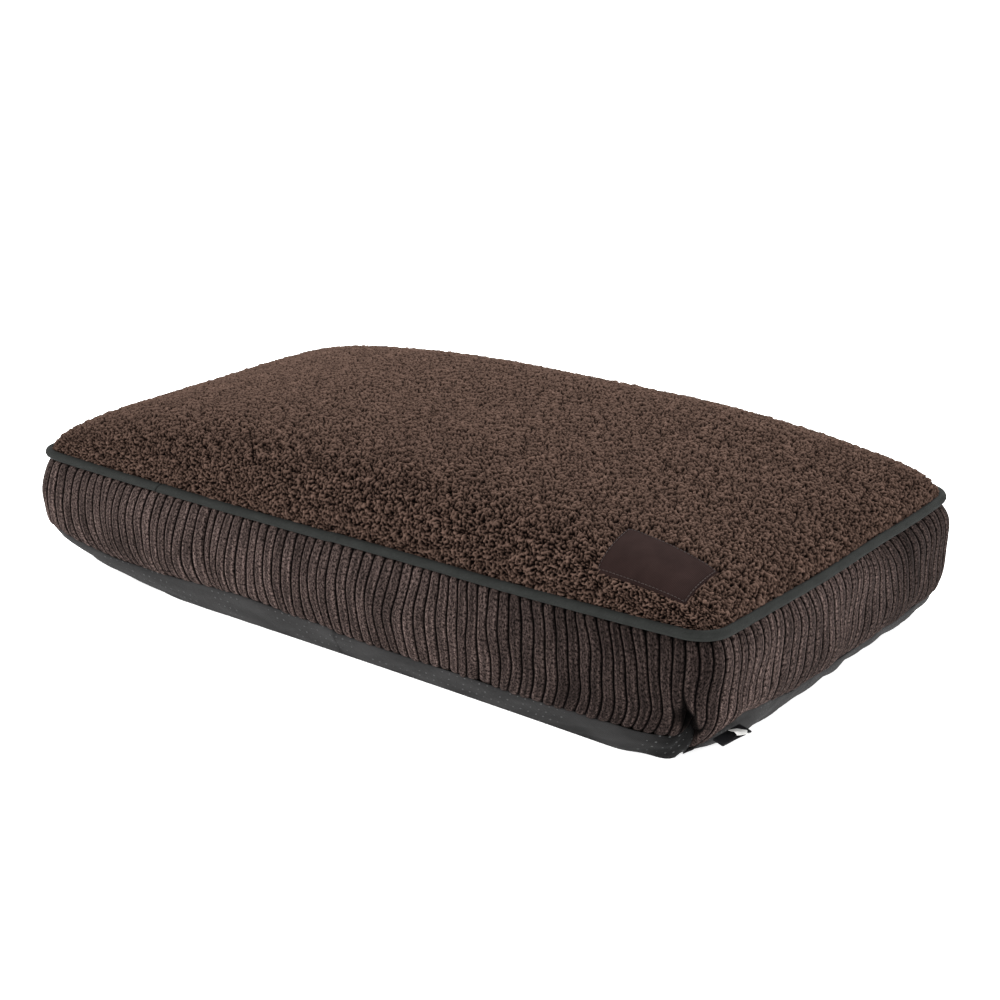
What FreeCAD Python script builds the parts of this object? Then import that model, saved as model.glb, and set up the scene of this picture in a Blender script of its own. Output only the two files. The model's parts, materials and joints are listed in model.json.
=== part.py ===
import FreeCAD
import Part
import math
import os
from collections import namedtuple

# Box-edge cushion bed for a pet: a zipped fabric cover round a fibre-filled liner.
# Millimetres. The origin is the middle of the patch that rests on the floor, +X runs along
# the length, -Y is the long side with the label patch, and +Z is up.

# Driving dimensions of the cushion
HALF_LENGTH = 354.0            # piping line, centre to end
HALF_DEPTH = 193.5             # piping line, centre to long side
CORNER_RADIUS = 22.0           # piping line, in plan
PIPING_HEIGHT = 105.0
PIPING_RADIUS = 4.0
CORD_RADIUS = 2.6
CORD_CLEAR = 0.1               # cord to the inside of its cover
CROWN = 61.0                   # how far the top rises above its edge
CROWN_POWER = 3.6              # plan shape of the crown: higher is flatter with steeper edges
CROWN_STEPS = (0, 12, 24, 36, 47, 57, 66, 73, 79, 83, 86, 88)    # degrees up its quarter curve

# Cloth thicknesses
SHERPA = 6.0
CORDUROY = 2.6
BASE_CLOTH = 1.5
LINER_CLOTH = 0.8
CLEARANCE = 0.4

# Heights of the side's sections, and how far each stands out of the piping line
Level = namedtuple("Level", "height left right front rear radius")
CONTACT = Level(0.0, -28.0, -22.0, -3.0, -12.0, 84.0)
RIM = Level(7.0, -14.0, -14.0, 3.0, -2.0, 72.0)
BASE_SEAM = Level(24.0, -6.0, -8.0, 6.0, 3.0, 60.0)
MIDDLE = Level(62.0, 6.0, 6.0, 7.0, 6.0, 34.0)
TOP_SEAM = Level(100.4, -1.0, -1.0, -1.0, -1.0, 21.0)
TOP_EDGE_HEIGHT = 102.0
TOP_EDGE_INSET = PIPING_RADIUS + CLEARANCE
LINER_INSET = 7.5              # liner inside the boxing, all round
LINER_LIFT = 1.9               # liner above the floor
LINER_SEAM_HEIGHT = 58.0

# Boxing seams
FRONT_SEAM_X = -140.0
ZIP_STRIP_HALF = 279.0         # the zip strips run this far each side of the middle

# Zip, a number 5 coil, along X in the middle of the rear boxing
ZIP_HEIGHT = 62.0
ZIP_HALF = 250.0
STRIP_GAP = 8.0                # folded edge of each strip to the zip's middle
TAPE_WIDTH = 15.0
TAPE_THICKNESS = 0.6
TAPE_Y = 194.0                 # inner face of the tapes
COIL_GAP = 0.4                 # half the gap between the two coils
COIL_WIDTH = 2.4
COIL_THICKNESS = 2.2
COIL_FILLET = 0.7
STOP_LENGTH = 3.0
STOP_OVER = 0.5                # a stop's wall over the coil
RUN = 0.35                     # running clearance of the slider
SLIDER_LENGTH = 11.0
SLIDER_PLATE = 1.2
SLIDER_WEB = 0.2               # half its thickness
SLIDER_FLANGE = 1.1
BRIDGE_HALF = 3.4
BRIDGE_WIDTH = 1.6
BRIDGE_LEG = 1.2
BRIDGE_OPENING = 2.0
PULL_PIN_RADIUS = 0.6
PULL_THICKNESS = 1.2
PULL_WIDTH = 5.6
PULL_CORNER = 1.9
PULL_SLOT = 5.4                # inside length of the pull's eye
PULL_LENGTH = 27.0
PULL_SIDE_GAP = 0.35           # pull's eye to bridge, each side

# Threads and labels
THREAD_RADIUS = 0.4
THREAD_CLEAR = 0.2
STITCH_OFFSET = 4.0            # topstitching from the strip's folded edge
PATCH_X = 282.0
PATCH_Y = -164.0
PATCH_TURN = -2.0              # degrees about +Z
PATCH_LENGTH = 72.0
PATCH_DEPTH = 40.0
PATCH_THICKNESS = 0.8
PATCH_STITCH_INSET = 2.0
TAG_SEAM_X = 345.2             # middle of the tags' sewn edge
TAG_SEAM_Y = -154.0
TAG_TURN = -14.0               # degrees about +Z, square to the seam there
TAG_DROOP = 18.0               # degrees below level
TAG_WIDTH = 27.0
TAG_LENGTH = 15.5
TAG_THICKNESS = 1.2
CARE_WIDTH = 20.0
CARE_LENGTH = 19.0
CARE_THICKNESS = 0.4
CARE_SHIFT = 7.0               # along the seam from the tag's middle
SEAM_CLEAR = 0.3               # hinge line to the sewn edge

BIG = 1000.0
UP = FreeCAD.Vector(0, 0, 1)
ALONG = FreeCAD.Vector(1, 0, 0)


def rounded_wire(left, right, front, rear, radius, height):
    """Closed rounded rectangle at one height: four lines and four quarter arcs."""
    corners = ((right, front, -90), (right, rear, 0), (left, rear, 90), (left, front, 180))
    edges = []
    last = None
    for x, y, start in corners:
        centre = FreeCAD.Vector(x - math.copysign(radius, x), y - math.copysign(radius, y), height)
        arc = Part.makeCircle(radius, centre, UP, start, start + 90)
        if last is not None:
            edges.append(Part.makeLine(last, arc.firstVertex().Point))
        edges.append(arc)
        last = arc.lastVertex().Point
    edges.append(Part.makeLine(last, edges[0].firstVertex().Point))
    return Part.Wire(edges)


def level_wire(level, inset=0.0, rise=0.0):
    """The cushion's outline at a level, moved in by inset and up by rise."""
    return rounded_wire(-(HALF_LENGTH + level.left - inset), HALF_LENGTH + level.right - inset,
                        -(HALF_DEPTH + level.front - inset), HALF_DEPTH + level.rear - inset,
                        level.radius - inset, level.height + rise)


def loft(wires):
    return Part.makeLoft(wires, True, False)


def dome(inset, foot, top):
    """Crowned block from height foot to height top, inset from the piping line."""
    wires = []
    for angle in CROWN_STEPS:
        scale = math.cos(math.radians(angle)) ** (2.0 / CROWN_POWER)
        length = (HALF_LENGTH - inset) * scale
        depth = (HALF_DEPTH - inset) * scale
        radius = (CORNER_RADIUS + TOP_EDGE_INSET - inset / 2) * scale
        height = foot + (top - foot) * math.sin(math.radians(angle))
        wires.append(rounded_wire(-length, length, -depth, depth, radius, height))
    return loft(wires)


def sides(inset, lift, drop):
    """Block with the boxing's bulged sides and the base's curved rim."""
    return loft([level_wire(CONTACT, inset, lift), level_wire(RIM, inset, lift),
                 level_wire(BASE_SEAM, inset), level_wire(MIDDLE, inset), level_wire(TOP_SEAM, inset, -drop)])


def box(x_from, x_to, y_from, y_to, z_from, z_to):
    corner = FreeCAD.Vector(x_from, y_from, z_from)
    return Part.makeBox(x_to - x_from, y_to - y_from, z_to - z_from, corner)


def rod(start, length, radius, direction=ALONG):
    return Part.makeCylinder(radius, length, start, direction)


def fuse(first, *others):
    return first.fuse(list(others)).removeSplitter()


def top_panel():
    outer = dome(TOP_EDGE_INSET, TOP_EDGE_HEIGHT, TOP_EDGE_HEIGHT + CROWN)
    inner = dome(TOP_EDGE_INSET + SHERPA, TOP_EDGE_HEIGHT, TOP_EDGE_HEIGHT + CROWN - SHERPA)
    return outer.cut(inner)


def boxing_ring():
    levels = (BASE_SEAM, MIDDLE, TOP_SEAM)
    outer = loft([level_wire(level) for level in levels])
    inner = loft([level_wire(level, CORDUROY) for level in levels])
    return outer.cut(inner)


def boxing_strips():
    """The ring cut at the front seam and at the two ends of the zip strips."""
    ring = boxing_ring()
    front_right = box(FRONT_SEAM_X, BIG, -BIG, 0, 0, BIG)
    rear_right = box(ZIP_STRIP_HALF, BIG, 0, BIG, 0, BIG)
    front_left = box(-BIG, FRONT_SEAM_X, -BIG, 0, 0, BIG)
    rear_left = box(-BIG, -ZIP_STRIP_HALF, 0, BIG, 0, BIG)
    upper = box(-ZIP_STRIP_HALF, ZIP_STRIP_HALF, 0, BIG, ZIP_HEIGHT + STRIP_GAP, BIG)
    lower = box(-ZIP_STRIP_HALF, ZIP_STRIP_HALF, 0, BIG, 0, ZIP_HEIGHT - STRIP_GAP)
    return {
        "boxing_long_strip": ring.common(fuse(front_right, rear_right)),
        "boxing_short_strip": ring.common(fuse(front_left, rear_left)),
        "zip_strip_upper": ring.common(upper),
        "zip_strip_lower": ring.common(lower),
    }


def base_panel():
    outer = loft([level_wire(level) for level in (CONTACT, RIM, BASE_SEAM)])
    hollow = loft([level_wire(CONTACT, BASE_CLOTH, BASE_CLOTH), level_wire(RIM, BASE_CLOTH, BASE_CLOTH),
                   level_wire(BASE_SEAM, BASE_CLOTH)])
    return outer.cut(hollow)


def piping_ring(radius):
    """A disc at the middle of the front side, carried round the piping line."""
    middle = FreeCAD.Vector(0, -HALF_DEPTH, PIPING_HEIGHT)
    face = Part.Face(Part.Wire(Part.makeCircle(radius, middle, ALONG)))
    long_run = HALF_LENGTH - CORNER_RADIUS
    short_run = HALF_DEPTH - CORNER_RADIUS
    runs = []
    for long_side in (0, 180):
        at = face.copy()
        at.translate(FreeCAD.Vector(-long_run, 0, 0))
        run = at.extrude(FreeCAD.Vector(2 * long_run, 0, 0))
        bend_face = face.copy()
        bend_face.translate(FreeCAD.Vector(long_run, 0, 0))
        bend = bend_face.revolve(FreeCAD.Vector(long_run, -short_run, middle.z), UP, 90)
        end_face = face.copy()
        end_face.rotate(middle, UP, 90)
        end_face.translate(FreeCAD.Vector(HALF_LENGTH, HALF_DEPTH - short_run, 0))
        end_run = end_face.extrude(FreeCAD.Vector(0, 2 * short_run, 0))
        last_face = face.copy()
        last_face.rotate(middle, UP, 90)
        last_face.translate(FreeCAD.Vector(HALF_LENGTH, HALF_DEPTH + short_run, 0))
        last_bend = last_face.revolve(FreeCAD.Vector(long_run, short_run, middle.z), UP, 90)
        for piece in (run, bend, end_run, last_bend):
            piece.rotate(FreeCAD.Vector(0, 0, 0), UP, long_side)
            runs.append(piece)
    return fuse(*runs)


def liner_blocks(extra):
    """The inner cushion's outer shape, made smaller by extra all round."""
    foot = TOP_SEAM.height - extra
    top = TOP_EDGE_HEIGHT + CROWN - SHERPA - CLEARANCE - extra
    crown = dome(TOP_EDGE_INSET + SHERPA + CLEARANCE + extra, foot, top)
    return fuse(sides(LINER_INSET + extra, LINER_LIFT + extra, extra), crown)


def inner_cushion():
    shell = liner_blocks(0.0).cut(liner_blocks(LINER_CLOTH))
    return {
        "liner_upper": shell.common(box(-BIG, BIG, -BIG, BIG, LINER_SEAM_HEIGHT, BIG)),
        "liner_lower": shell.common(box(-BIG, BIG, -BIG, BIG, 0, LINER_SEAM_HEIGHT)),
        "fibre_fill": liner_blocks(LINER_CLOTH + CLEARANCE),
    }


def zip_chain():
    coil_inner = ZIP_HEIGHT + COIL_GAP
    coil_y = TAPE_Y + TAPE_THICKNESS
    tape = box(-ZIP_STRIP_HALF, ZIP_STRIP_HALF, TAPE_Y, coil_y, coil_inner + TAPE_THICKNESS,
               coil_inner + TAPE_WIDTH)
    coil = box(-ZIP_HALF, ZIP_HALF, coil_y, coil_y + COIL_THICKNESS, coil_inner, coil_inner + COIL_WIDTH)
    coil_edges = [edge for edge in coil.Edges if edge.Length > ZIP_HALF]
    coil = coil.makeFillet(COIL_FILLET, coil_edges)
    plane = FreeCAD.Vector(0, 0, ZIP_HEIGHT)
    return {
        "zip_tape_upper": tape,
        "zip_tape_lower": tape.mirror(plane, UP),
        "zip_coil_upper": coil,
        "zip_coil_lower": coil.mirror(plane, UP),
    }


def zip_stops():
    """Two top stops, one on each tape's edge, and one bottom stop across both."""
    near = TAPE_Y + TAPE_THICKNESS
    far = near + COIL_THICKNESS + STOP_OVER
    inner = ZIP_HEIGHT + COIL_GAP
    top = box(ZIP_HALF, ZIP_HALF + STOP_LENGTH, near, far, inner, inner + COIL_WIDTH + STOP_OVER)
    mirrored = top.mirror(FreeCAD.Vector(0, 0, ZIP_HEIGHT), UP)
    reach = COIL_GAP + COIL_WIDTH + STOP_OVER
    bottom = box(-ZIP_HALF - STOP_LENGTH, -ZIP_HALF, near, far, ZIP_HEIGHT - reach, ZIP_HEIGHT + reach)
    return {"zip_top_stops": Part.makeCompound([top, mirrored]), "zip_bottom_stop": bottom}


def slider_place():
    """X of the slider's middle when closed, and Y of its outer plate's outer face."""
    plate_y = TAPE_Y + TAPE_THICKNESS + COIL_THICKNESS + RUN + SLIDER_PLATE
    return ZIP_HALF - SLIDER_LENGTH / 2 - CLEARANCE, plate_y


def slider_hinge_y():
    return slider_place()[1] + BRIDGE_OPENING / 2


def zip_slider():
    x, outer_y = slider_place()
    half = SLIDER_LENGTH / 2
    reach = COIL_GAP + COIL_WIDTH + RUN
    side = reach + SLIDER_FLANGE
    tape_outer = TAPE_Y + TAPE_THICKNESS
    inner_plate_y = TAPE_Y - RUN - SLIDER_PLATE
    low, high = ZIP_HEIGHT - side, ZIP_HEIGHT + side
    outer_plate = box(x - half, x + half, outer_y - SLIDER_PLATE, outer_y, low, high)
    inner_plate = box(x - half, x + half, inner_plate_y, TAPE_Y - RUN, low, high)
    flange_y = tape_outer + RUN
    upper_flange = box(x - half, x + half, flange_y, outer_y, ZIP_HEIGHT + reach, high)
    lower_flange = box(x - half, x + half, flange_y, outer_y, low, ZIP_HEIGHT - reach)
    web = box(x - half / 2, x + half / 2, inner_plate_y, outer_y, ZIP_HEIGHT - SLIDER_WEB,
              ZIP_HEIGHT + SLIDER_WEB)
    bridge_out = outer_y + BRIDGE_OPENING
    half_width = BRIDGE_WIDTH / 2
    arch = box(x - BRIDGE_HALF - BRIDGE_LEG, x + BRIDGE_HALF + BRIDGE_LEG, outer_y, bridge_out + BRIDGE_LEG,
               ZIP_HEIGHT - half_width, ZIP_HEIGHT + half_width)
    arch = arch.makeFillet(BRIDGE_LEG, [edge for edge in arch.Edges if is_arch_corner(edge, bridge_out)])
    opening = box(x - BRIDGE_HALF, x + BRIDGE_HALF, outer_y, bridge_out, ZIP_HEIGHT - half_width,
                  ZIP_HEIGHT + half_width)
    return fuse(outer_plate, inner_plate, upper_flange, lower_flange, web, arch.cut(opening))


def is_arch_corner(edge, bridge_out):
    """The two outermost edges across the bridge."""
    return abs(edge.tangentAt(edge.FirstParameter).z) > 0.5 and edge.CenterOfMass.y > bridge_out


def zip_pull():
    """Flat tab with an eye round the bridge, lying back along the closed zip."""
    pin_x = slider_place()[0]
    y = slider_hinge_y()
    half_width = PULL_WIDTH / 2
    eye_half = BRIDGE_WIDTH / 2 + PULL_SIDE_GAP
    half = PULL_THICKNESS / 2
    blank = box(pin_x - PULL_LENGTH, pin_x, y - half, y + half, ZIP_HEIGHT - half_width,
                ZIP_HEIGHT + half_width)
    ends = [edge for edge in blank.Edges
            if abs(edge.tangentAt(edge.FirstParameter).y) > 0.5 and edge.CenterOfMass.x < pin_x - half_width]
    blank = blank.makeFillet(PULL_CORNER, ends)
    eye = box(pin_x - PULL_SLOT, pin_x + half_width, y - half, y + half, ZIP_HEIGHT - eye_half,
              ZIP_HEIGHT + eye_half)
    pin = rod(FreeCAD.Vector(pin_x, y, ZIP_HEIGHT - half_width), PULL_WIDTH, PULL_PIN_RADIUS, UP)
    return fuse(blank.cut(eye), pin)


def topstitching():
    """A row of thread on each zip strip, just outside the cloth."""
    cushion = loft([level_wire(level) for level in (BASE_SEAM, MIDDLE, TOP_SEAM)])
    rows = {}
    for name, side in (("zip_topstitch_upper", 1), ("zip_topstitch_lower", -1)):
        z = ZIP_HEIGHT + side * (STRIP_GAP + STITCH_OFFSET)
        probe = Part.makeLine(FreeCAD.Vector(0, 0, z), FreeCAD.Vector(0, BIG, z))
        face_y = cushion.common(probe).BoundBox.YMax
        start = FreeCAD.Vector(-ZIP_STRIP_HALF, face_y + THREAD_RADIUS + THREAD_CLEAR, z)
        rows[name] = rod(start, 2 * ZIP_STRIP_HALF, THREAD_RADIUS)
    return rows


def patch_prism(length, depth):
    """Upright prism over the patch's place on the crown."""
    prism = box(-length / 2, length / 2, -depth / 2, depth / 2, TOP_EDGE_HEIGHT, BIG)
    prism.rotate(FreeCAD.Vector(0, 0, 0), UP, PATCH_TURN)
    prism.translate(FreeCAD.Vector(PATCH_X, PATCH_Y, 0))
    return prism


def crown_skin(gap, thickness):
    """Thin shell that lies gap above the sherpa."""
    crown_top = TOP_EDGE_HEIGHT + CROWN + gap
    outer = dome(TOP_EDGE_INSET - gap - thickness, TOP_EDGE_HEIGHT, crown_top + thickness)
    return outer.cut(dome(TOP_EDGE_INSET - gap, TOP_EDGE_HEIGHT, crown_top))


def patch():
    inset = 2 * PATCH_STITCH_INSET
    band = inset + 4 * THREAD_RADIUS    # a thread's width on each side
    frame = patch_prism(PATCH_LENGTH - inset, PATCH_DEPTH - inset).cut(
        patch_prism(PATCH_LENGTH - band, PATCH_DEPTH - band))
    return {
        "label_patch": crown_skin(CLEARANCE, PATCH_THICKNESS).common(patch_prism(PATCH_LENGTH, PATCH_DEPTH)),
        "patch_stitching": crown_skin(CLEARANCE + PATCH_THICKNESS, THREAD_RADIUS).common(frame),
    }


def tag(width, length, thickness, shift, drop):
    """Flat tag with its sewn edge along the base seam, drooping outwards."""
    plate = box(SEAM_CLEAR, SEAM_CLEAR + length, shift - width / 2, shift + width / 2,
                -drop - thickness / 2, -drop + thickness / 2)
    origin = FreeCAD.Vector(0, 0, 0)
    plate.rotate(origin, FreeCAD.Vector(0, 1, 0), TAG_DROOP)
    plate.rotate(origin, UP, TAG_TURN)
    plate.translate(FreeCAD.Vector(TAG_SEAM_X, TAG_SEAM_Y, BASE_SEAM.height))
    return plate


def tags():
    under = (TAG_THICKNESS + CARE_THICKNESS) / 2 + CLEARANCE
    return {
        "side_tag": tag(TAG_WIDTH, TAG_LENGTH, TAG_THICKNESS, 0.0, 0.0),
        "care_label": tag(CARE_WIDTH, CARE_LENGTH, CARE_THICKNESS, CARE_SHIFT, under),
    }


def all_parts():
    parts = {"top_panel": top_panel(), "base_panel": base_panel()}
    parts["piping_cover"] = piping_ring(PIPING_RADIUS).cut(piping_ring(CORD_RADIUS))
    parts["piping_cord"] = piping_ring(CORD_RADIUS - CORD_CLEAR)
    for group in (boxing_strips, inner_cushion, zip_chain, zip_stops, topstitching, patch, tags):
        parts.update(group())
    parts["zip_slider"] = zip_slider()
    parts["zip_pull"] = zip_pull()
    return parts


os.makedirs("parts", exist_ok=True)
for node, shape in all_parts().items():
    solids = shape.Solids
    print(node, len(solids), "solid(s)", round(sum(solid.Volume for solid in solids)), "mm3",
          "valid" if shape.isValid() else "NOT VALID")
    if len(solids) == 1:
        shape = solids[0]
    shape.exportStep("parts/" + node + ".step")
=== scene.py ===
import json
import math

import bpy
import numpy as np
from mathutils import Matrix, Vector


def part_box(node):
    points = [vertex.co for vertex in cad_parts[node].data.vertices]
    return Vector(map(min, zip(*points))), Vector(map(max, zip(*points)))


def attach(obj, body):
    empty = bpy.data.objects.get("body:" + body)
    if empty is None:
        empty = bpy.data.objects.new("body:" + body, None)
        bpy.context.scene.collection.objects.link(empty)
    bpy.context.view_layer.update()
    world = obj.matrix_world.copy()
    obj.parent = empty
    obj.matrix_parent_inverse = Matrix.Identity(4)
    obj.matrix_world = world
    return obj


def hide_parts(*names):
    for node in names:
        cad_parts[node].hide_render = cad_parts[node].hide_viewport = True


# Box-edge pet cushion. Metres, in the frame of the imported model. Places round the cover are
# turns: 0 in the middle of the front, 1 at the near corner, 2 in the middle of the right side
# and so on, up to 8 back in the middle of the front.
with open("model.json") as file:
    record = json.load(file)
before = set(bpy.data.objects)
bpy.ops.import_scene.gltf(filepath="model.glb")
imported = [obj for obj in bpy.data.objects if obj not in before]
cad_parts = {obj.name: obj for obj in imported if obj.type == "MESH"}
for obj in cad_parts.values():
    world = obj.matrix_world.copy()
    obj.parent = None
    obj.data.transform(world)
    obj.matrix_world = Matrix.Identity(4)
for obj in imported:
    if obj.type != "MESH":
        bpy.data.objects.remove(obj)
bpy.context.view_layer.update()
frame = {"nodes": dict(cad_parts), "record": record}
NODES = frame["nodes"]
MM = 0.001

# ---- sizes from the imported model
PIPE_LO, PIPE_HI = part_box("piping_cover")
PIPE_RADIUS = (PIPE_HI.z - PIPE_LO.z) / 2
PIPE_Z = (PIPE_HI.z + PIPE_LO.z) / 2
HALF_LENGTH = PIPE_HI.x - PIPE_RADIUS
HALF_DEPTH = PIPE_HI.y - PIPE_RADIUS
PIPE_CORNER = 22 * MM
TOP_LO, TOP_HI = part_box("top_panel")
ZIP_UPPER_LO, ZIP_UPPER_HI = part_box("zip_coil_upper")
ZIP_LOWER_LO, ZIP_LOWER_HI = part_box("zip_coil_lower")
ZIP_Z = (ZIP_UPPER_LO.z + ZIP_LOWER_HI.z) / 2
STRIP_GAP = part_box("zip_strip_upper")[0].z - ZIP_Z
TAG_JOINT = next(j for j in frame["record"]["behaviour"]["joints"] if j["name"] == "tag_flip")

# Side profile: height, then how far the left, right, front and rear stand out of the piping
# line, then the plan radius of the front right, rear right, rear left and front left corners
PROFILE = np.array((
    (0, -22, -19, -9.5, -12, 70, 62, 84, 150),
    (7, -10, -9.5, -6, -2, 68, 48, 72, 112),
    (24, 1.2, 2.5, 0.5, 3, 54, 33, 52, 54),
    (62, 6.5, 6.5, 7.5, 6, 34, 25, 32, 22),
    (89, 2.2, 4.2, 2.8, 3.4, 24, 18.5, 24, 20),
    (102, -2.2, -2.2, -2.2, -2.2, 19.8, 19.8, 19.8, 19.8),
)) * MM
LIFT = 3.5 * MM                # how far the piping rises at the corners
CORNER_PULL = np.array((-7.0, -1.0, 0.0)) * MM    # moves the near corner
BASE_PULL = np.array((-2.5, -8.4, 0.0)) * MM      # moves its foot further
BASE_PULL_HEIGHT = 45 * MM

# Corduroy
RIBS_LONG = 35                 # ribs on half a long side
RIBS_SHORT = 19                # ribs on half a short side
RIB_PITCH = 9.97 * MM
RIB = 2.4 * MM                 # depth of the grooves
RIB_SAMPLES = (-1, -0.93, -0.8, -0.55, -0.2, 0.2, 0.55, 0.8, 0.93)
HALF_SIDES = (RIBS_LONG, RIBS_SHORT, RIBS_SHORT, RIBS_LONG, RIBS_LONG, RIBS_SHORT, RIBS_SHORT, RIBS_LONG)
RIB_ENDS = np.cumsum((0,) + HALF_SIDES)
ALL_RIBS = int(RIB_ENDS[-1])
SEAM_RIB = ALL_RIBS - 14       # front seam, in ribs from the middle of the front
ZIP_RIB = RIBS_LONG + 2 * RIBS_SHORT + 7    # right end of the zip strips
TOP_Z = 102 * MM               # top edge of the boxing
BASE_Z = 22.3 * MM             # base seam, on average
NOTCH_TURN = 0.964             # pinched fold beside the near corner
TAG_TURN = 1.2                 # where the tags are sewn in, on the right
CLOTH = 1.0 * MM               # thickness of the boxing's and the base's cloth
NOTCH = 11 * MM                # depth of the pinched fold

# Fleece crown
CROWN = 65 * MM
CROWN_X, CROWN_Y, CROWN_EASE = 2.2, 6.5, 0.36    # higher is flatter with steeper edges
PILE = 3.6 * MM
PILE_PITCH = 1.0 * MM          # step of the pile's mesh
LINING_STEP = 6                # steps of the pile's mesh to one of its lining
CURL = 3.2 * MM                # wavelength of the curls

# Piping
PIPING_JOINT = 198 * MM        # left of the middle of the front
PIPING_AROUND = 28             # points round the piping


# ---- small mathematics
def bell(value, centre, width):
    return np.exp(-((value - centre) / width) ** 2)


def ease(value):
    value = np.clip(value, 0, 1)
    return value * value * (3 - 2 * value)


def between(value, low, low_width, high, high_width):
    """1 from low to high, eased in and out over the two widths, and 0 outside."""
    return ease((value - low) / low_width) * ease((high - value) / high_width)


def grid(first, second):
    return np.meshgrid(first, second, indexing="ij")


def joined(*coordinates):
    return np.stack(coordinates, axis=-1)


def lattice(u, v, seed):
    """Smooth noise from -1 to 1 whose features are about one unit wide."""
    iu, iv = np.floor(u), np.floor(v)
    fu, fv = ease(u - iu), ease(v - iv)

    def corner(a, b):
        h = np.sin(a * 127.1 + b * 311.7 + seed * 74.7) * 43758.5453
        return 2 * (h - np.floor(h)) - 1

    low = corner(iu, iv) * (1 - fu) + corner(iu + 1, iv) * fu
    high = corner(iu, iv + 1) * (1 - fu) + corner(iu + 1, iv + 1) * fu
    return low * (1 - fv) + high * fv


def band(shape, pitch, wavelength, spread, seed):
    """Noise whose features all have about one wavelength, scaled to unit variance."""
    white = np.random.default_rng(seed).standard_normal(shape)
    k = np.hypot(np.fft.fftfreq(shape[0], pitch)[:, None], np.fft.rfftfreq(shape[1], pitch)[None, :])
    ring = np.exp(-((k * wavelength - 1) / spread) ** 2)
    noise = np.fft.irfft2(np.fft.rfft2(white) * ring, shape)
    return noise / noise.std()


def through(x, xs, ys):
    """Smooth curve through a few points."""
    slopes = np.gradient(ys, xs, axis=0)
    x = np.clip(x, xs[0], xs[-1])
    i = np.clip(np.searchsorted(xs, x) - 1, 0, len(xs) - 2)
    step = xs[i + 1] - xs[i]
    t = (x - xs[i]) / step
    t2, t3 = t * t, t * t * t
    return ((2 * t3 - 3 * t2 + 1) * ys[i] + (t3 - 2 * t2 + t) * step * slopes[i]
            + (3 * t2 - 2 * t3) * ys[i + 1] + (t3 - t2) * step * slopes[i + 1])


# ---- outline and side surface
def quarter_of(turn):
    """0 for the quarter round the near corner, and so on to 3."""
    return np.clip((np.mod(turn, 8.0) // 2).astype(int), 0, 3)


def outline(ring, turn):
    """Point and outward normal in plan on a rounded rectangle.

    ring is (left, right, front, rear, corner radius).
    """
    x0, x1, y0, y1, r = (np.broadcast_to(value, turn.shape) for value in ring)
    turn = np.mod(turn, 8.0)
    quarter = quarter_of(turn)
    w = turn - 2 * quarter
    a = np.choose(quarter, (x1, y1, -x0, -y0))
    b = np.choose(quarter, (-y0, x1, y1, -x0))
    first = w < 1
    leg = np.where(first, a, b)
    d = np.where(first, w, 2 - w) * (leg - r + r * math.pi / 4)
    angle = np.maximum(d - (leg - r), 0) / r
    along = np.minimum(d, leg - r) + r * np.sin(angle)
    out = np.where(first, b, a) - r + r * np.cos(angle)
    e1, e2 = np.where(first, along, out), np.where(first, out, along)
    n1 = np.where(first, np.sin(angle), np.cos(angle))
    n2 = np.where(first, np.cos(angle), np.sin(angle))
    c = np.choose(quarter, (1, 0, -1, 0))
    s = np.choose(quarter, (0, 1, 0, -1))
    return e1 * c + e2 * s, e1 * s - e2 * c, n1 * c + n2 * s, n1 * s - n2 * c


def ring_at(height, turn):
    """The side's outline at a height; each quarter turn has its own corner radius."""
    left, right, front, rear, *radii = (through(height, PROFILE[:, 0], PROFILE[:, k]) for k in range(1, 9))
    return (-(HALF_LENGTH + left), HALF_LENGTH + right, -(HALF_DEPTH + front), HALF_DEPTH + rear,
            np.choose(quarter_of(turn), radii))


def lift(x, y):
    """How far the piping and its neighbours stand up towards the corners."""
    return LIFT * (np.abs(x) / HALF_LENGTH) ** 4 * (np.abs(y) / HALF_DEPTH) ** 4


def side(turn, height):
    """Smooth surface of the boxing, before its ribs."""
    x, y, _, _ = outline(ring_at(height, turn), turn)
    z = height + lift(x, y) * ease((height - 40 * MM) / (60 * MM))
    return joined(x, y, z)


def turn_of_rib(rib):
    """The turn of a place given in ribs from the middle of the front."""
    laps = np.floor(rib / ALL_RIBS)
    return np.interp(rib - laps * ALL_RIBS, RIB_ENDS, np.arange(9.0)) + 8 * laps


def base_seam(turn):
    """Height of the seam between the boxing and the base."""
    turn = np.mod(turn, 8.0)
    wave = 1.2 * MM * lattice(turn * 5, turn * 0, 3) + 0.8 * MM * lattice(turn * 13, turn * 0, 4)
    front_dip = -4 * MM * bell(turn, 0.45, 0.38)
    front_rise = 4.5 * MM * bell(turn, 7.72, 0.2)
    left_corner = 17 * MM * bell(turn, 7.0, np.where(turn > 7, 0.16, 0.3))
    right_corner = 2 * MM * bell(turn, 3.0, np.where(turn > 3, 0.16, 0.3))
    right_dip = -2.2 * MM * bell(turn, 2.35, 0.45)
    right_rise = 8.5 * MM * bell(turn, 1.38, 0.17)
    over_tags = 2.5 * MM * bell(turn, TAG_TURN, 0.08)
    tongue = -22.5 * MM * bell(turn, NOTCH_TURN + 0.07, 0.032)
    return (BASE_Z + wave + front_dip + front_rise + left_corner + right_corner + right_dip + right_rise
            + over_tags + tongue)


# ---- meshes
def normals_of(points):
    """Unit normals of a grid of points."""
    n = np.cross(np.gradient(points, axis=0), np.gradient(points, axis=1))
    return n / np.maximum(np.linalg.norm(n, axis=-1, keepdims=True), 1e-12)


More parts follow.
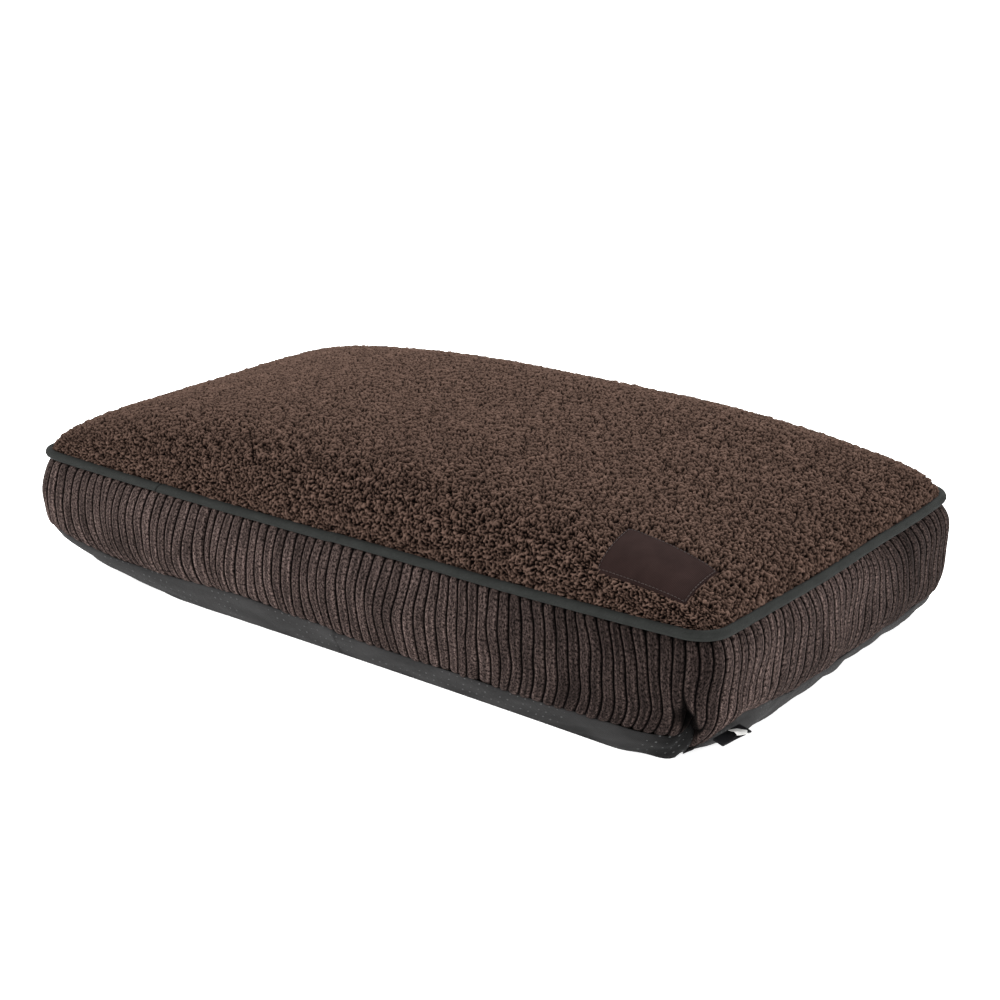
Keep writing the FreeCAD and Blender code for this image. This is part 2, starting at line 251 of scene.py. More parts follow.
def quads(nu, nv, flip=False, start=0):
    """Corner numbers of a grid's faces."""
    i, j = (a.ravel() for a in grid(np.arange(nu - 1), np.arange(nv - 1)))
    k = i + 1
    faces = np.stack((i * nv + j, k * nv + j, k * nv + j + 1, i * nv + j + 1), axis=1) + start
    return faces[:, ::-1] if flip else faces


def drawn_in(points):
    """The cover's near corner sits a little short of square."""
    along = np.clip((points[:, 0] + HALF_LENGTH) / (2 * HALF_LENGTH), 0, 1)
    near = np.clip((HALF_DEPTH - points[:, 1]) / (2 * HALF_DEPTH), 0, 1)
    low = np.clip(1 - points[:, 2] / BASE_PULL_HEIGHT, 0, 1)
    pull = along[:, None] ** 3 * near[:, None] ** 1.5
    return points + pull * (CORNER_PULL + low[:, None] * BASE_PULL)


def placed(name, data):
    made = bpy.data.objects.new(name, data)
    bpy.context.scene.collection.objects.link(made)
    return made


def piece(name, points, faces, material, attributes=(), body="cushion"):
    """A smooth mesh object; faces are arrays, or lists of lists, of corner numbers."""
    points = drawn_in(np.asarray(points, dtype=float).reshape(-1, 3)).astype(np.float32)
    points[:, 2] = np.maximum(points[:, 2], 0)
    loops, totals = [], []
    for group in faces:
        if isinstance(group, np.ndarray):
            loops.append(group.ravel())
            totals.append(np.full(len(group), group.shape[1]))
        else:
            loops.append(np.concatenate(group))
            totals.append(np.array([len(face) for face in group]))
    loops, totals = np.concatenate(loops).astype(np.int32), np.concatenate(totals).astype(np.int32)
    mesh = bpy.data.meshes.new(name)
    mesh.vertices.add(len(points))
    mesh.vertices.foreach_set("co", points.ravel())
    mesh.loops.add(len(loops))
    mesh.loops.foreach_set("vertex_index", loops)
    mesh.polygons.add(len(totals))
    mesh.polygons.foreach_set("loop_start", np.concatenate(((0,), np.cumsum(totals)[:-1])).astype(np.int32))
    mesh.polygons.foreach_set("loop_total", totals)
    mesh.polygons.foreach_set("use_smooth", np.ones(len(totals), bool))
    mesh.update(calc_edges=True)
    mesh.validate()
    for key, values in dict(attributes).items():
        values = np.asarray(values, dtype=np.float32)
        vector = values.ndim > 1 and values.shape[-1] == 3
        layer = mesh.attributes.new(key, "FLOAT_VECTOR" if vector else "FLOAT", "POINT")
        layer.data.foreach_set("vector" if vector else "value", values.ravel())
    mesh.materials.append(material)
    made = placed(name, mesh)
    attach(made, body)
    return made


def stands_for(made, slot, *nodes):
    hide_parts(*nodes)


def solid(made, thickness, offset=-1.0):
    """Gives a cloth its thickness, inwards, or on both sides with an offset of 0."""
    modifier = made.modifiers.new("thickness", "SOLIDIFY")
    modifier.thickness = thickness
    modifier.offset = offset
    return made


def tube(path, radius, around, closed=False):
    """Points and faces of a round tube along a path; radius may vary along it and around it."""
    if closed:
        tangent = np.roll(path, -1, axis=0) - np.roll(path, 1, axis=0)
    else:
        tangent = np.gradient(path, axis=0)
    tangent /= np.linalg.norm(tangent, axis=1, keepdims=True)
    across = np.cross(tangent, (0.0, 0.0, 1.0))
    across /= np.linalg.norm(across, axis=1, keepdims=True)
    upward = np.cross(across, tangent)
    angle = np.arange(around) * 2 * math.pi / around
    radius = np.broadcast_to(radius, (len(path), around))
    ring = across[:, None, :] * np.cos(angle)[None, :, None] + upward[:, None, :] * np.sin(angle)[None, :, None]
    points = path[:, None, :] + ring * radius[..., None]
    n = len(path)
    i, j = (a.ravel() for a in grid(np.arange(n if closed else n - 1), np.arange(around)))
    i2, j2 = (i + 1) % n, (j + 1) % around
    faces = np.stack((i * around + j, i2 * around + j, i2 * around + j2, i * around + j2), axis=1)
    return points, faces


def beads(paths, radius, around=8):
    """Many short rounded rods as one set of points and faces."""
    all_points, all_faces, start = [], [], 0
    for path in paths:
        n = len(path)
        t = np.linspace(-1, 1, n)
        taper = np.sqrt(np.clip(1 - np.abs(t) ** 6, 0.12, 1))
        points, faces = tube(path, radius * taper[:, None], around)
        points = points.reshape(-1, 3)
        caps = np.stack((path[0], path[-1]))
        count = len(points)
        j = np.arange(around)
        first = np.stack((j, (j + 1) % around, np.full(around, count)), axis=1)
        far = (n - 1) * around
        last = np.stack(((j + 1) % around + far, j + far, np.full(around, count + 1)), axis=1)
        all_points += [points, caps]
        all_faces += [faces + start, first + start, last + start]
        start += count + 2
    return np.concatenate(all_points), all_faces


# ---- materials
class Graph:
    """A material and short names for the nodes it is made of."""

    def __init__(self, name):
        self.material = bpy.data.materials.new(name)
        self.material.use_nodes = True
        self.tree = self.material.node_tree
        self.shader = self.tree.nodes["Principled BSDF"]

    def add(self, kind, inputs, output=0, **settings):
        node = self.tree.nodes.new("ShaderNode" + kind)
        for key, value in settings.items():
            setattr(node, key, value)
        for key, value in inputs.items():
            self.feed(node.inputs[key], value)
        return node.outputs[output]

    def feed(self, socket, value):
        if isinstance(value, bpy.types.NodeSocket):
            self.tree.links.new(value, socket)
        else:
            socket.default_value = value

    def attribute(self, name, output="Fac"):
        return self.add("Attribute", {}, output, attribute_name=name)

    def cloth(self):
        """Place on the flat cloth, in metres."""
        return self.attribute("cloth", "Vector")

    def place(self):
        return self.add("TexCoord", {}, "Object")

    def scaled(self, vector, by):
        return self.add("VectorMath", {0: vector, 1: by}, operation="MULTIPLY")

    def noise(self, vector, scale, detail=2.0, roughness=0.5):
        return self.add("TexNoise", {"Vector": vector, "Scale": scale, "Detail": detail,
                                               "Roughness": roughness}, "Fac")

    def wave(self, vector, scale, distortion=0.0, direction="X"):
        return self.add("TexWave", {"Vector": vector, "Scale": scale, "Distortion": distortion},
                        "Fac", bands_direction=direction)

    def math(self, operation, a, b):
        return self.add("Math", {0: a, 1: b}, operation=operation)

    def times(self, a, b):
        return self.math("MULTIPLY", a, b)

    def ramp(self, value, stops):
        output = self.add("ValToRGB", {"Fac": value})
        elements = output.node.color_ramp.elements
        while len(elements) < len(stops):
            elements.new(0.5)
        for element, (at, colour) in zip(elements, stops):
            element.position = at
            element.color = (*colour, 1)
        return output

    def spread(self, value, low, high):
        """Noise from about 0.3 to 0.7 stretched to low..high."""
        return self.add("MapRange", {0: value, 1: 0.3, 2: 0.7, 3: low, 4: high})

    def brightened(self, colour, by):
        return self.add("VectorMath", {0: colour, "Scale": by}, operation="SCALE")

    def mixed(self, factor, a, b):
        output = self.add("Mix", {}, 2, data_type="RGBA")
        node = output.node
        for index, value in ((0, factor), (6, a), (7, b)):
            value = (*value, 1) if isinstance(value, tuple) else value
            self.feed(node.inputs[index], value)
        return output

    def bump(self, height, distance, below=None):
        inputs = {"Height": height, "Distance": distance, "Strength": 1.0}
        if below is not None:
            inputs["Normal"] = below
        return self.add("Bump", inputs)

    def finish(self, colour, normal, roughness, gloss, **others):
        inputs = {"Base_Color": colour, "Roughness": roughness, "Specular_IOR_Level": gloss, **others}
        if normal is not None:
            inputs["Normal"] = normal
        for key, value in inputs.items():
            self.feed(self.shader.inputs[key.replace("_", " ")], value)
        return self.material


def sherpa_material():
    g = Graph("sherpa")
    cloth = g.cloth()
    pile = g.attribute("pile")
    # The ramp on the pile attribute paints shade into the gaps between the curls.
    colour = g.ramp(pile, ((0.0, (0.0008, 0.0005, 0.0004)), (0.3, (0.006, 0.0034, 0.0026)),
                           (0.55, (0.032, 0.0192, 0.0145)), (0.8, (0.070, 0.0435, 0.0335)),
                           (1.0, (0.118, 0.0745, 0.058))))
    patchy = g.spread(g.noise(cloth, 45, 3), 0.8, 1.2)
    fibres = g.spread(g.noise(cloth, 1500, 2), 0.66, 1.36)
    # Lightened towards the front right by the painted light in the fleece's shading attribute.
    colour = g.brightened(colour, g.times(g.times(patchy, fibres), g.attribute("nap_and_shading")))
    fine = g.bump(g.noise(cloth, 1900, 3), 0.5 * MM)
    return g.finish(colour, fine, 0.95, 0.02)


def corduroy_material():
    g = Graph("corduroy")
    cloth = g.cloth()
    rib = g.attribute("rib")
    # The ramp on the rib attribute paints shade into the grooves and a painted sheen on the rib edges, which
    # are lighter than the crowns.
    colour = g.ramp(rib, ((0.0, (0.0005, 0.0004, 0.0004)), (0.42, (0.0035, 0.0025, 0.0023)),
                          (0.62, (0.029, 0.0205, 0.0184)), (0.82, (0.068, 0.0487, 0.0437)),
                          (1.0, (0.034, 0.0241, 0.0218))))
    speckle_and_light = g.spread(g.noise(g.scaled(cloth, (1, 0.7, 1)), 700, 3, 0.7), -0.7, 2.7)
    speckle_and_light = g.math("MAXIMUM", speckle_and_light, 0.1)
    # Streaks along the ribs: painted sheen of the pile.
    streaks = g.spread(g.noise(g.scaled(cloth, (1, 0.1, 1)), 300, 2), 0.55, 1.5)
    speckle_and_light = g.times(speckle_and_light, streaks)
    # Darkened by the painted shade in the cloth's shading attribute, which also holds a random tone.
    colour = g.brightened(colour, g.times(speckle_and_light, g.attribute("nap_and_shading")))
    fine = g.bump(g.noise(cloth, 1700, 3), 0.35 * MM)
    return g.finish(colour, fine, 0.9, 0.03, Sheen_Weight=0.03,
                    Sheen_Roughness=0.3, Sheen_Tint=(0.9, 0.66, 0.6, 1))


def woven_material(name, dark, light, pitch, sheen=0.15, attribute=True, shaded=False):
    """Plain weave with its threads pitch apart; on request it is darkened by painted shade from the cloth's
    shading attribute.
    """
    g = Graph(name)
    cloth = g.cloth() if attribute else g.place()
    bands = 1 / pitch / 20 * math.pi * 2
    warp, weft = g.wave(cloth, bands, 0.4, "X"), g.wave(cloth, bands, 0.4, "Y")
    weave = g.times(warp, weft) if attribute else g.math("MAXIMUM", warp, weft)
    slub = g.noise(g.scaled(cloth, (1, 6, 1)), 130, 3, 0.6)
    colour = g.mixed(weave, dark, light)
    patchy = g.spread(g.noise(cloth, 30, 3), 0.85, 1.15)
    colour = g.brightened(colour, g.times(g.spread(slub, 0.85, 1.15), patchy))
    # Painted shade from the cloth's shading attribute.
    if shaded:
        colour = g.brightened(colour, g.attribute("nap_and_shading"))
    fine = g.bump(weave, 0.12 * MM)
    fine = g.bump(g.noise(cloth, 900, 3), 0.15 * MM, fine)
    return g.finish(colour, fine, 0.8, 0.06, Sheen_Weight=sheen,
                    Sheen_Roughness=0.4, Sheen_Tint=(0.8, 0.8, 0.8, 1))


def base_material():
    """Charcoal cloth with rows of tiny pale grip dots."""
    g = Graph("base_cloth")
    cloth = g.cloth()
    weave = g.times(g.wave(cloth, 330, 0.5, "X"), g.wave(cloth, 330, 0.5, "Y"))
    colour = g.mixed(weave, (0.024, 0.0232, 0.0232), (0.046, 0.0450, 0.0450))
    patchy = g.spread(g.noise(g.scaled(cloth, (1, 2.5, 1)), 26, 4, 0.6), 0.72, 1.25)
    # Darkened by the painted shade in the cloth's shading attribute.
    colour = g.brightened(colour, g.times(patchy, g.attribute("nap_and_shading")))
    cell = g.add("TexVoronoi", {"Vector": cloth, "Scale": 170.0, "Randomness": 0.12}, "Distance")
    dot = g.math("LESS_THAN", cell, 0.12)
    sparse = g.math("GREATER_THAN", g.noise(cloth, 22, 1), 0.48)
    dot = g.times(dot, sparse)
    colour = g.mixed(dot, colour, (0.075, 0.075, 0.075))
    fine = g.bump(weave, 0.12 * MM)
    fine = g.bump(g.noise(cloth, 160, 4, 0.6), 0.6 * MM, fine)
    fine = g.bump(dot, 0.3 * MM, fine)
    return g.finish(colour, fine, 0.8, 0.08, Sheen_Weight=0.03,
                    Sheen_Roughness=0.5, Sheen_Tint=(0.8, 0.8, 0.8, 1))


def satin_material(name, dark, light, roughness, glaze=0.1):
    g = Graph(name)
    cloth = g.cloth()
    floats = g.wave(g.scaled(cloth, (1, 0.2, 1)), 300, 1.5, "X")
    colour = g.mixed(floats, dark, light)
    colour = g.brightened(colour, g.spread(g.noise(cloth, 60, 3), 0.85, 1.15))
    fine = g.bump(floats, 0.05 * MM)
    fine = g.bump(g.noise(cloth, 120, 3), 0.5 * MM, fine)
    return g.finish(colour, fine, roughness, glaze)


def thread_material(name, colour):
    g = Graph(name)
    where = g.place()
    twist = g.wave(where, 420, 2.0, "DIAGONAL")
    shade = g.mixed(twist, tuple(0.6 * c for c in colour), tuple(1.3 * c for c in colour))
    return g.finish(shade, g.bump(twist, 0.1 * MM), 0.6, 0.4)


def metal_material():
    g = Graph("zip_metal")
    where = g.place()
    wear = g.noise(where, 260, 4, 0.6)
    colour = g.ramp(wear, ((0.35, (0.020, 0.018, 0.017)), (0.62, (0.036, 0.032, 0.030)),
                           (0.8, (0.09, 0.085, 0.08))))
    rough = g.add("MapRange", {0: wear, 3: 0.28, 4: 0.5})
    return g.finish(colour, g.bump(g.noise(where, 900, 2), 0.03 * MM), rough, 0.5, Metallic=0.6)


def plastic_material():
    g = Graph("zip_coil")
    where = g.place()
    tone = g.noise(where, 500, 3)
    colour = g.ramp(tone, ((0.3, (0.024, 0.017, 0.016)), (0.7, (0.046, 0.034, 0.031))))
    return g.finish(colour, g.bump(g.noise(where, 1500, 2), 0.03 * MM), 0.38, 0.5)


def liner_material():
    g = Graph("liner_cloth")
    cloth = g.place()
    felt = g.noise(cloth, 700, 4, 0.65)
    dimples = g.add("TexVoronoi", {"Vector": cloth, "Scale": 420.0}, "Distance")
    colour = g.ramp(felt, ((0.3, (0.68, 0.68, 0.66)), (0.7, (0.86, 0.86, 0.84))))
    fine = g.bump(dimples, 0.15 * MM)
    fine = g.bump(felt, 0.2 * MM, fine)
    return g.finish(colour, fine, 0.9, 0.2, Sheen_Weight=0.1)


SHERPA = sherpa_material()
CORDUROY = corduroy_material()
BASE_CLOTH = base_material()
PIPING_CLOTH = woven_material("piping_cloth", (0.018, 0.0192, 0.0180), (0.036, 0.0380, 0.0355), 0.7 * MM,
                              sheen=0.0, shaded=True)
CORD = woven_material("cord", (0.55, 0.53, 0.48), (0.8, 0.78, 0.72), 1.5 * MM)
ZIP_TAPE = woven_material("zip_tape", (0.022, 0.016, 0.015), (0.05, 0.038, 0.035), 1.0 * MM, attribute=False)
ZIP_COIL = plastic_material()
ZIP_METAL = metal_material()
THREAD = thread_material("thread", (0.05, 0.038, 0.035))
PATCH_THREAD = thread_material("patch_thread", (0.034, 0.0205, 0.0178))
PATCH_SATIN = satin_material("patch_satin", (0.016, 0.0095, 0.0088), (0.030, 0.0180, 0.0164), 0.85, glaze=0.015)
TAG_BLACK = satin_material("tag_black", (0.007, 0.007, 0.008), (0.02, 0.02, 0.022), 0.45)
CARE_WHITE = satin_material("care_white", (0.62, 0.62, 0.6), (0.85, 0.85, 0.83), 0.35)
LINER = liner_material()


# ---- corduroy boxing
def rib_columns(first, last):
    """Rib coordinate of every column of a strip, and how far it is across its rib (-1 to 1)."""
    across = np.array(RIB_SAMPLES)
    ribs = np.arange(first, last)[:, None] + (across[None, :] + 1) / 2
    return np.append(ribs.ravel(), last), np.append(np.tile(across, last - first), -1.0)


def wander(rib, fall):
    """How far the ribs stray sideways, in ribs, going down the strip from 0 to 1."""
    lap = np.mod(rib, ALL_RIBS)
    near, right, left = RIB_ENDS[1], RIB_ENDS[2], RIB_ENDS[7]    # near corner, right side's middle, left corner
    slow = (0.42 + 0.4 * bell(lap, right, 15)) * lattice(rib / 7, fall * 1.6, 11)
    quick = 0.19 * lattice(rib / 1.8, fall * 3.1, 12)
    fan = (0.6 * bell(lap, left + 5, 4) - 1.1 * bell(lap, left + 19, 8) + 0.8 * bell(lap, near - 4, 13)
           - 2.1 * bell(lap, near + 7, 6) + 0.6 * bell(lap, right + 8, 8))
    bow = 0.7 * bell(lap, right - 3, 12) * np.sin(math.pi * fall)
    return slow + quick + fan * ease(fall) + bow


def gathers(run, fall):
    """Small puckers that the seams draw in the cloth."""
    low = lattice(run / (17 * MM), fall * 1.3, 21) * ease(fall * 1.5 - 0.5) * 1.5 * MM
    high = lattice(run / (23 * MM), fall * 1.1 + 9, 22) * ease(1 - fall * 2.2) * 0.8 * MM
    soft = lattice(run / (55 * MM), fall * 1.2, 23) * 2.2 * MM * np.sin(math.pi * fall)
    return low + high + soft


def corner_notch(turn, fall):
    """The pinched fold low down beside the near corner, from 0 to 1."""
    deep = ease((fall - 0.42) / 0.4)
    return bell(turn, NOTCH_TURN - 0.008 + 0.03 * ease(fall * 3 - 2), 0.004 + 0.017 * deep) * deep


def tag_pinch(turn, from_seam):
    """How far the base seam is drawn in where the tags are sewn."""
    return 6.8 * MM * bell(np.mod(turn, 8), TAG_TURN + 0.02, 0.12) * bell(from_seam, 0, 10 * MM)


def strip(name, first, last, rows, top=TOP_Z, bottom=None):
    """A strip of the boxing between two heights; with no bottom it goes down to the base seam."""
    rib, across = rib_columns(first, last)
    rib, share = grid(rib, np.linspace(0, 1, rows))
    across = np.broadcast_to(across[:, None], rib.shape)
    from_end = np.minimum(rib - first, last - rib)
    loose = ease(from_end / 3)
    hem = base_seam(turn_of_rib(rib + wander(rib, np.ones_like(rib)) * loose))
    low = hem if bottom is None else bottom
    height = top + (low - top) * share
    fall = (TOP_Z - height) / (TOP_Z - hem)
    turn = turn_of_rib(rib + wander(rib, fall) * loose)
    way = np.mod(turn, 8)
    smooth = side(turn, height)
    rounded = np.clip(1 - np.abs(across) ** 2.6, 0, 1) ** 0.62    # 0 in the grooves, 1 on the ribs
    notch = corner_notch(way, fall)
    to_top, to_bottom = top - height, height - low
    top_seam = 2.2 * MM * bell(to_top, 0, 3 * MM)
    bottom_seam = 1.8 * MM * bell(to_bottom, 0, 2.5 * MM)
    end_seam = 2.4 * MM * bell(from_end * RIB_PITCH, 0, 2.6 * MM)
    sunk = -RIB * (1 - rounded) + gathers(rib * RIB_PITCH, fall) - NOTCH * notch
    sunk = sunk - top_seam - bottom_seam - tag_pinch(turn, to_bottom) - end_seam
    points = smooth - normals_of(smooth) * sunk[..., None]
    # Painted shade in the grooves, in the pinched fold by the near corner and along the bottom seam, with a
    # painted shadow under the piping along the top seam; it goes to the rib attribute.
    shade = (rounded * (1 - 0.9 * notch) * (1 - 0.5 * bell(to_top, 0, 3 * MM))
             * (1 - 0.45 * bell(to_bottom, 0, 2 * MM)))
    cloth = joined(rib * RIB_PITCH, height, 0 * rib)
    # Tone that differs at random from rib to rib, the first rib of each strip lighter, and painted shade in the
    # pinched fold by the near corner and over parts of the front and right side.
    nap_and_shading = 1 + 0.2 * lattice(np.floor(rib), 0 * rib, 13) + 0.2 * lattice(rib / 6, fall * 2.4, 14)
    nap_and_shading = (nap_and_shading + 0.45 * bell(rib, first + 0.5, 0.5)) * (1 - 0.8 * notch)
    nap_and_shading = nap_and_shading * (1 - 0.52 * between(way, 0.35, 0.4, 1.08, 0.08))    # painted shade, darker on the front towards the near corner
    nap_and_shading = nap_and_shading * (1 - 0.45 * between(way, 1.9, 0.8, 3.3, 0.3))       # painted shade, darker on the right side towards the rear
    made = piece(name + "_cord", points, [quads(*rib.shape, flip=True)], CORDUROY,
                 {"cloth": cloth, "rib": shade, "nap_and_shading": nap_and_shading})
    stands_for(solid(made, CLOTH), "corduroy", name)
    return made


long_strip = strip("boxing_long_strip", SEAM_RIB - ALL_RIBS, ZIP_RIB, 42)
short_strip = strip("boxing_short_strip", ALL_RIBS - ZIP_RIB, SEAM_RIB, 42)
zip_upper = strip("zip_strip_upper", ZIP_RIB, ALL_RIBS - ZIP_RIB, 18, bottom=ZIP_Z + STRIP_GAP)
zip_lower = strip("zip_strip_lower", ZIP_RIB, ALL_RIBS - ZIP_RIB, 20, top=ZIP_Z - STRIP_GAP)


# ---- base
def square_rings(across, along):
    """Distance from the middle (0 to 1) and turn of each node of a square grid."""
    p, q = grid(across, along)
    m = np.maximum(np.abs(p), np.abs(q))
    safe = np.maximum(m, 1e-9)
    turn = np.where(np.abs(q) >= np.abs(p), np.where(q < 0, p / safe, 4 - p / safe),
                    np.where(p > 0, 2 + q / safe, 6 - q / safe))
    return m, np.mod(turn, 8.0)


def base():
    """Cloth that lies on the floor and curls up to the base seam all round."""
    rim = 0.86    # the cloth leaves the floor this far from its middle
    edge = np.linspace(rim, 1, 15)
    long_way, short_way = (np.concatenate((-edge[::-1], np.linspace(-rim, rim, count)[1:-1], edge))
                           for count in (181, 101))
    m, turn = square_rings(long_way, short_way)
    up = np.clip((m - rim) / (1 - rim), 0, 1)
    height = (base_seam(turn) + 0.6 * MM) * up ** 1.5
    x, y, _, _ = outline(ring_at(height, turn), turn)
    shrink = np.minimum(m / rim, 1)
    points = joined(x * shrink, y * shrink, height)
    outward = normals_of(points)
    outward = outward * -np.sign(outward[len(long_way) // 2, len(short_way) // 2, 2])
    run = turn * 269 * MM    # about the length of one turn
    folds = 1.5 * MM * lattice((run + height * 1.6) / (30 * MM), height / (40 * MM), 31)
    folds = folds + 0.8 * MM * lattice((run - height * 2.2) / (13 * MM), height / (15 * MM), 32)
    sunk = folds * np.sin(math.pi * up) ** 0.7 - 1.6 * MM * bell(up, 1, 0.1)
    sunk = sunk - NOTCH * corner_notch(turn, 1 + 0 * turn) * up
    sunk = sunk - tag_pinch(turn, base_seam(turn) - height)
    points = points + outward * sunk[..., None]
    corner_foot = 9 * MM * bell(turn, 0.985, 0.042)
    beside_tags = 5 * MM * bell(turn, 1.16, 0.06)
    under_tongue = 4 * MM * bell(turn, NOTCH_TURN + 0.085, 0.03)
    toe = (corner_foot - beside_tags - under_tongue) * ease((m - 0.72) / 0.12) * (1 - ease(height / (25 * MM)))
    points[..., :2] += toe[..., None] * np.array((0.6, -0.8))    # towards the near corner
    under = 0.5 * MM * (1 + lattice(x * shrink / (45 * MM), y * shrink / (60 * MM), 33)) * (1 - up)
    points[..., 2] = np.maximum(points[..., 2] + under * ease((1 - shrink) * 12), 0)
    # Painted shade: dark in the pinched fold by the near corner, and a little darker around the near corner.
    nap_and_shading = (1 - 0.88 * bell(turn, NOTCH_TURN, 0.06) * ease(up * 4)) * (1 - 0.2 * bell(turn, 0.9, 0.25))
    flat = joined(np.where(up > 0, run, x * shrink), np.where(up > 0, points[..., 2] + 0.2, y * shrink), 0 * x)
    made = piece("base_cloth", points, [quads(*m.shape, flip=True)], BASE_CLOTH, {"cloth": flat, "nap_and_shading": nap_and_shading})
    stands_for(solid(made, CLOTH), "base_cloth", "base_panel")
    return made


base_piece = base()


# ---- fleece top
HALF_X = TOP_HI.x
HALF_Y = TOP_HI.y
RIM_RADIUS = PIPE_CORNER - (HALF_LENGTH - HALF_X)
PATCH_LO, PATCH_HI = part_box("label_patch")
PATCH_MIDDLE = np.array(((PATCH_LO.x + PATCH_HI.x) / 2 + 3.8 * MM, (PATCH_LO.y + PATCH_HI.y) / 2 + 4.4 * MM))
PATCH_SIZE = np.array((77.5 * MM, 45.5 * MM))    # in plan
PATCH_TURN = math.radians(1.3)
STITCH_INSET = 2 * MM          # patch's edge to its stitches


def crown(x, y):
    """Height of the fleece over its seam."""
    run_x = np.clip(1 - (np.abs(x) / HALF_X) ** CROWN_X, 0, 1)
    run_y = np.clip(1 - (np.abs(y) / HALF_Y) ** CROWN_Y, 0, 1)
    return CROWN * (run_x * run_y) ** CROWN_EASE


def even_steps(half, height_of, pitch, multiple):
    """Places along a half profile that are evenly spaced over the crown, mirrored."""
    fine = half * np.sin(np.linspace(0, math.pi / 2, 4000))
    heights = height_of(fine)
    run = np.concatenate(((0,), np.cumsum(np.hypot(np.diff(fine), np.diff(heights)))))
    count = int(round(run[-1] / pitch / multiple)) * multiple
    places = np.interp(np.linspace(0, run[-1], count + 1), run, fine)
    distance = np.linspace(0, run[-1], count + 1)
    return np.concatenate((-places[:0:-1], places)), np.concatenate((-distance[:0:-1], distance))


def squeezed(x, y):
    """Moves the square corners of a plan grid onto the rounded outline."""
    dx = np.abs(x) - (HALF_X - RIM_RADIUS)
    dy = np.abs(y) - (HALF_Y - RIM_RADIUS)
    inside = (dx > 0) & (dy > 0)
    dx, dy = np.maximum(dx, 1e-9), np.maximum(dy, 1e-9)
    factor = np.where(inside, np.maximum(dx, dy) / np.hypot(dx, dy), 1.0)
    new_x = np.where(inside, np.sign(x) * (HALF_X - RIM_RADIUS + dx * factor), x)
    new_y = np.where(inside, np.sign(y) * (HALF_Y - RIM_RADIUS + dy * factor), y)
    return new_x, new_y


def in_patch(x, y):
    """Distance outside the label patch's edge, in plan; below zero under the patch."""
    dx, dy = x - PATCH_MIDDLE[0], y - PATCH_MIDDLE[1]
    c, s = math.cos(-PATCH_TURN), math.sin(-PATCH_TURN)
    u, v = dx * c - dy * s, dx * s + dy * c
    return np.maximum(np.abs(u) - PATCH_SIZE[0] / 2, np.abs(v) - PATCH_SIZE[1] / 2)


def swelling(x, y):
    """Soft unevenness of the filling under the fleece."""
    return 1.4 * MM * lattice(x / (70 * MM), y / (60 * MM), 41) * ease(crown(x, y) / (40 * MM))


def skin(x, y):
    """The fleece's backing, before its pile."""
    px, py = squeezed(x, y)
    swell = swelling(x, y)
    rise = crown(x, y)
    z = TOP_LO.z + 1.0 * MM + rise - 2.4 * MM * ease(rise / (8 * MM)) + swell + lift(px, py)
    return joined(px, py, z)


def curls(shape):
    """Clumps of curled pile from 0 in the gaps to 1 on top."""
    worms = band(shape, PILE_PITCH, CURL * 1.2, 0.5, 51)
    fine = band(shape, PILE_PITCH, CURL * 0.68, 0.38, 52)
    clumps = band(shape, PILE_PITCH, CURL * 3.4, 0.6, 53)
    mixed = worms + 0.85 * fine + 0.4 * clumps
    return 0.5 + 0.5 * np.tanh(1.05 * mixed + 0.3), clumps


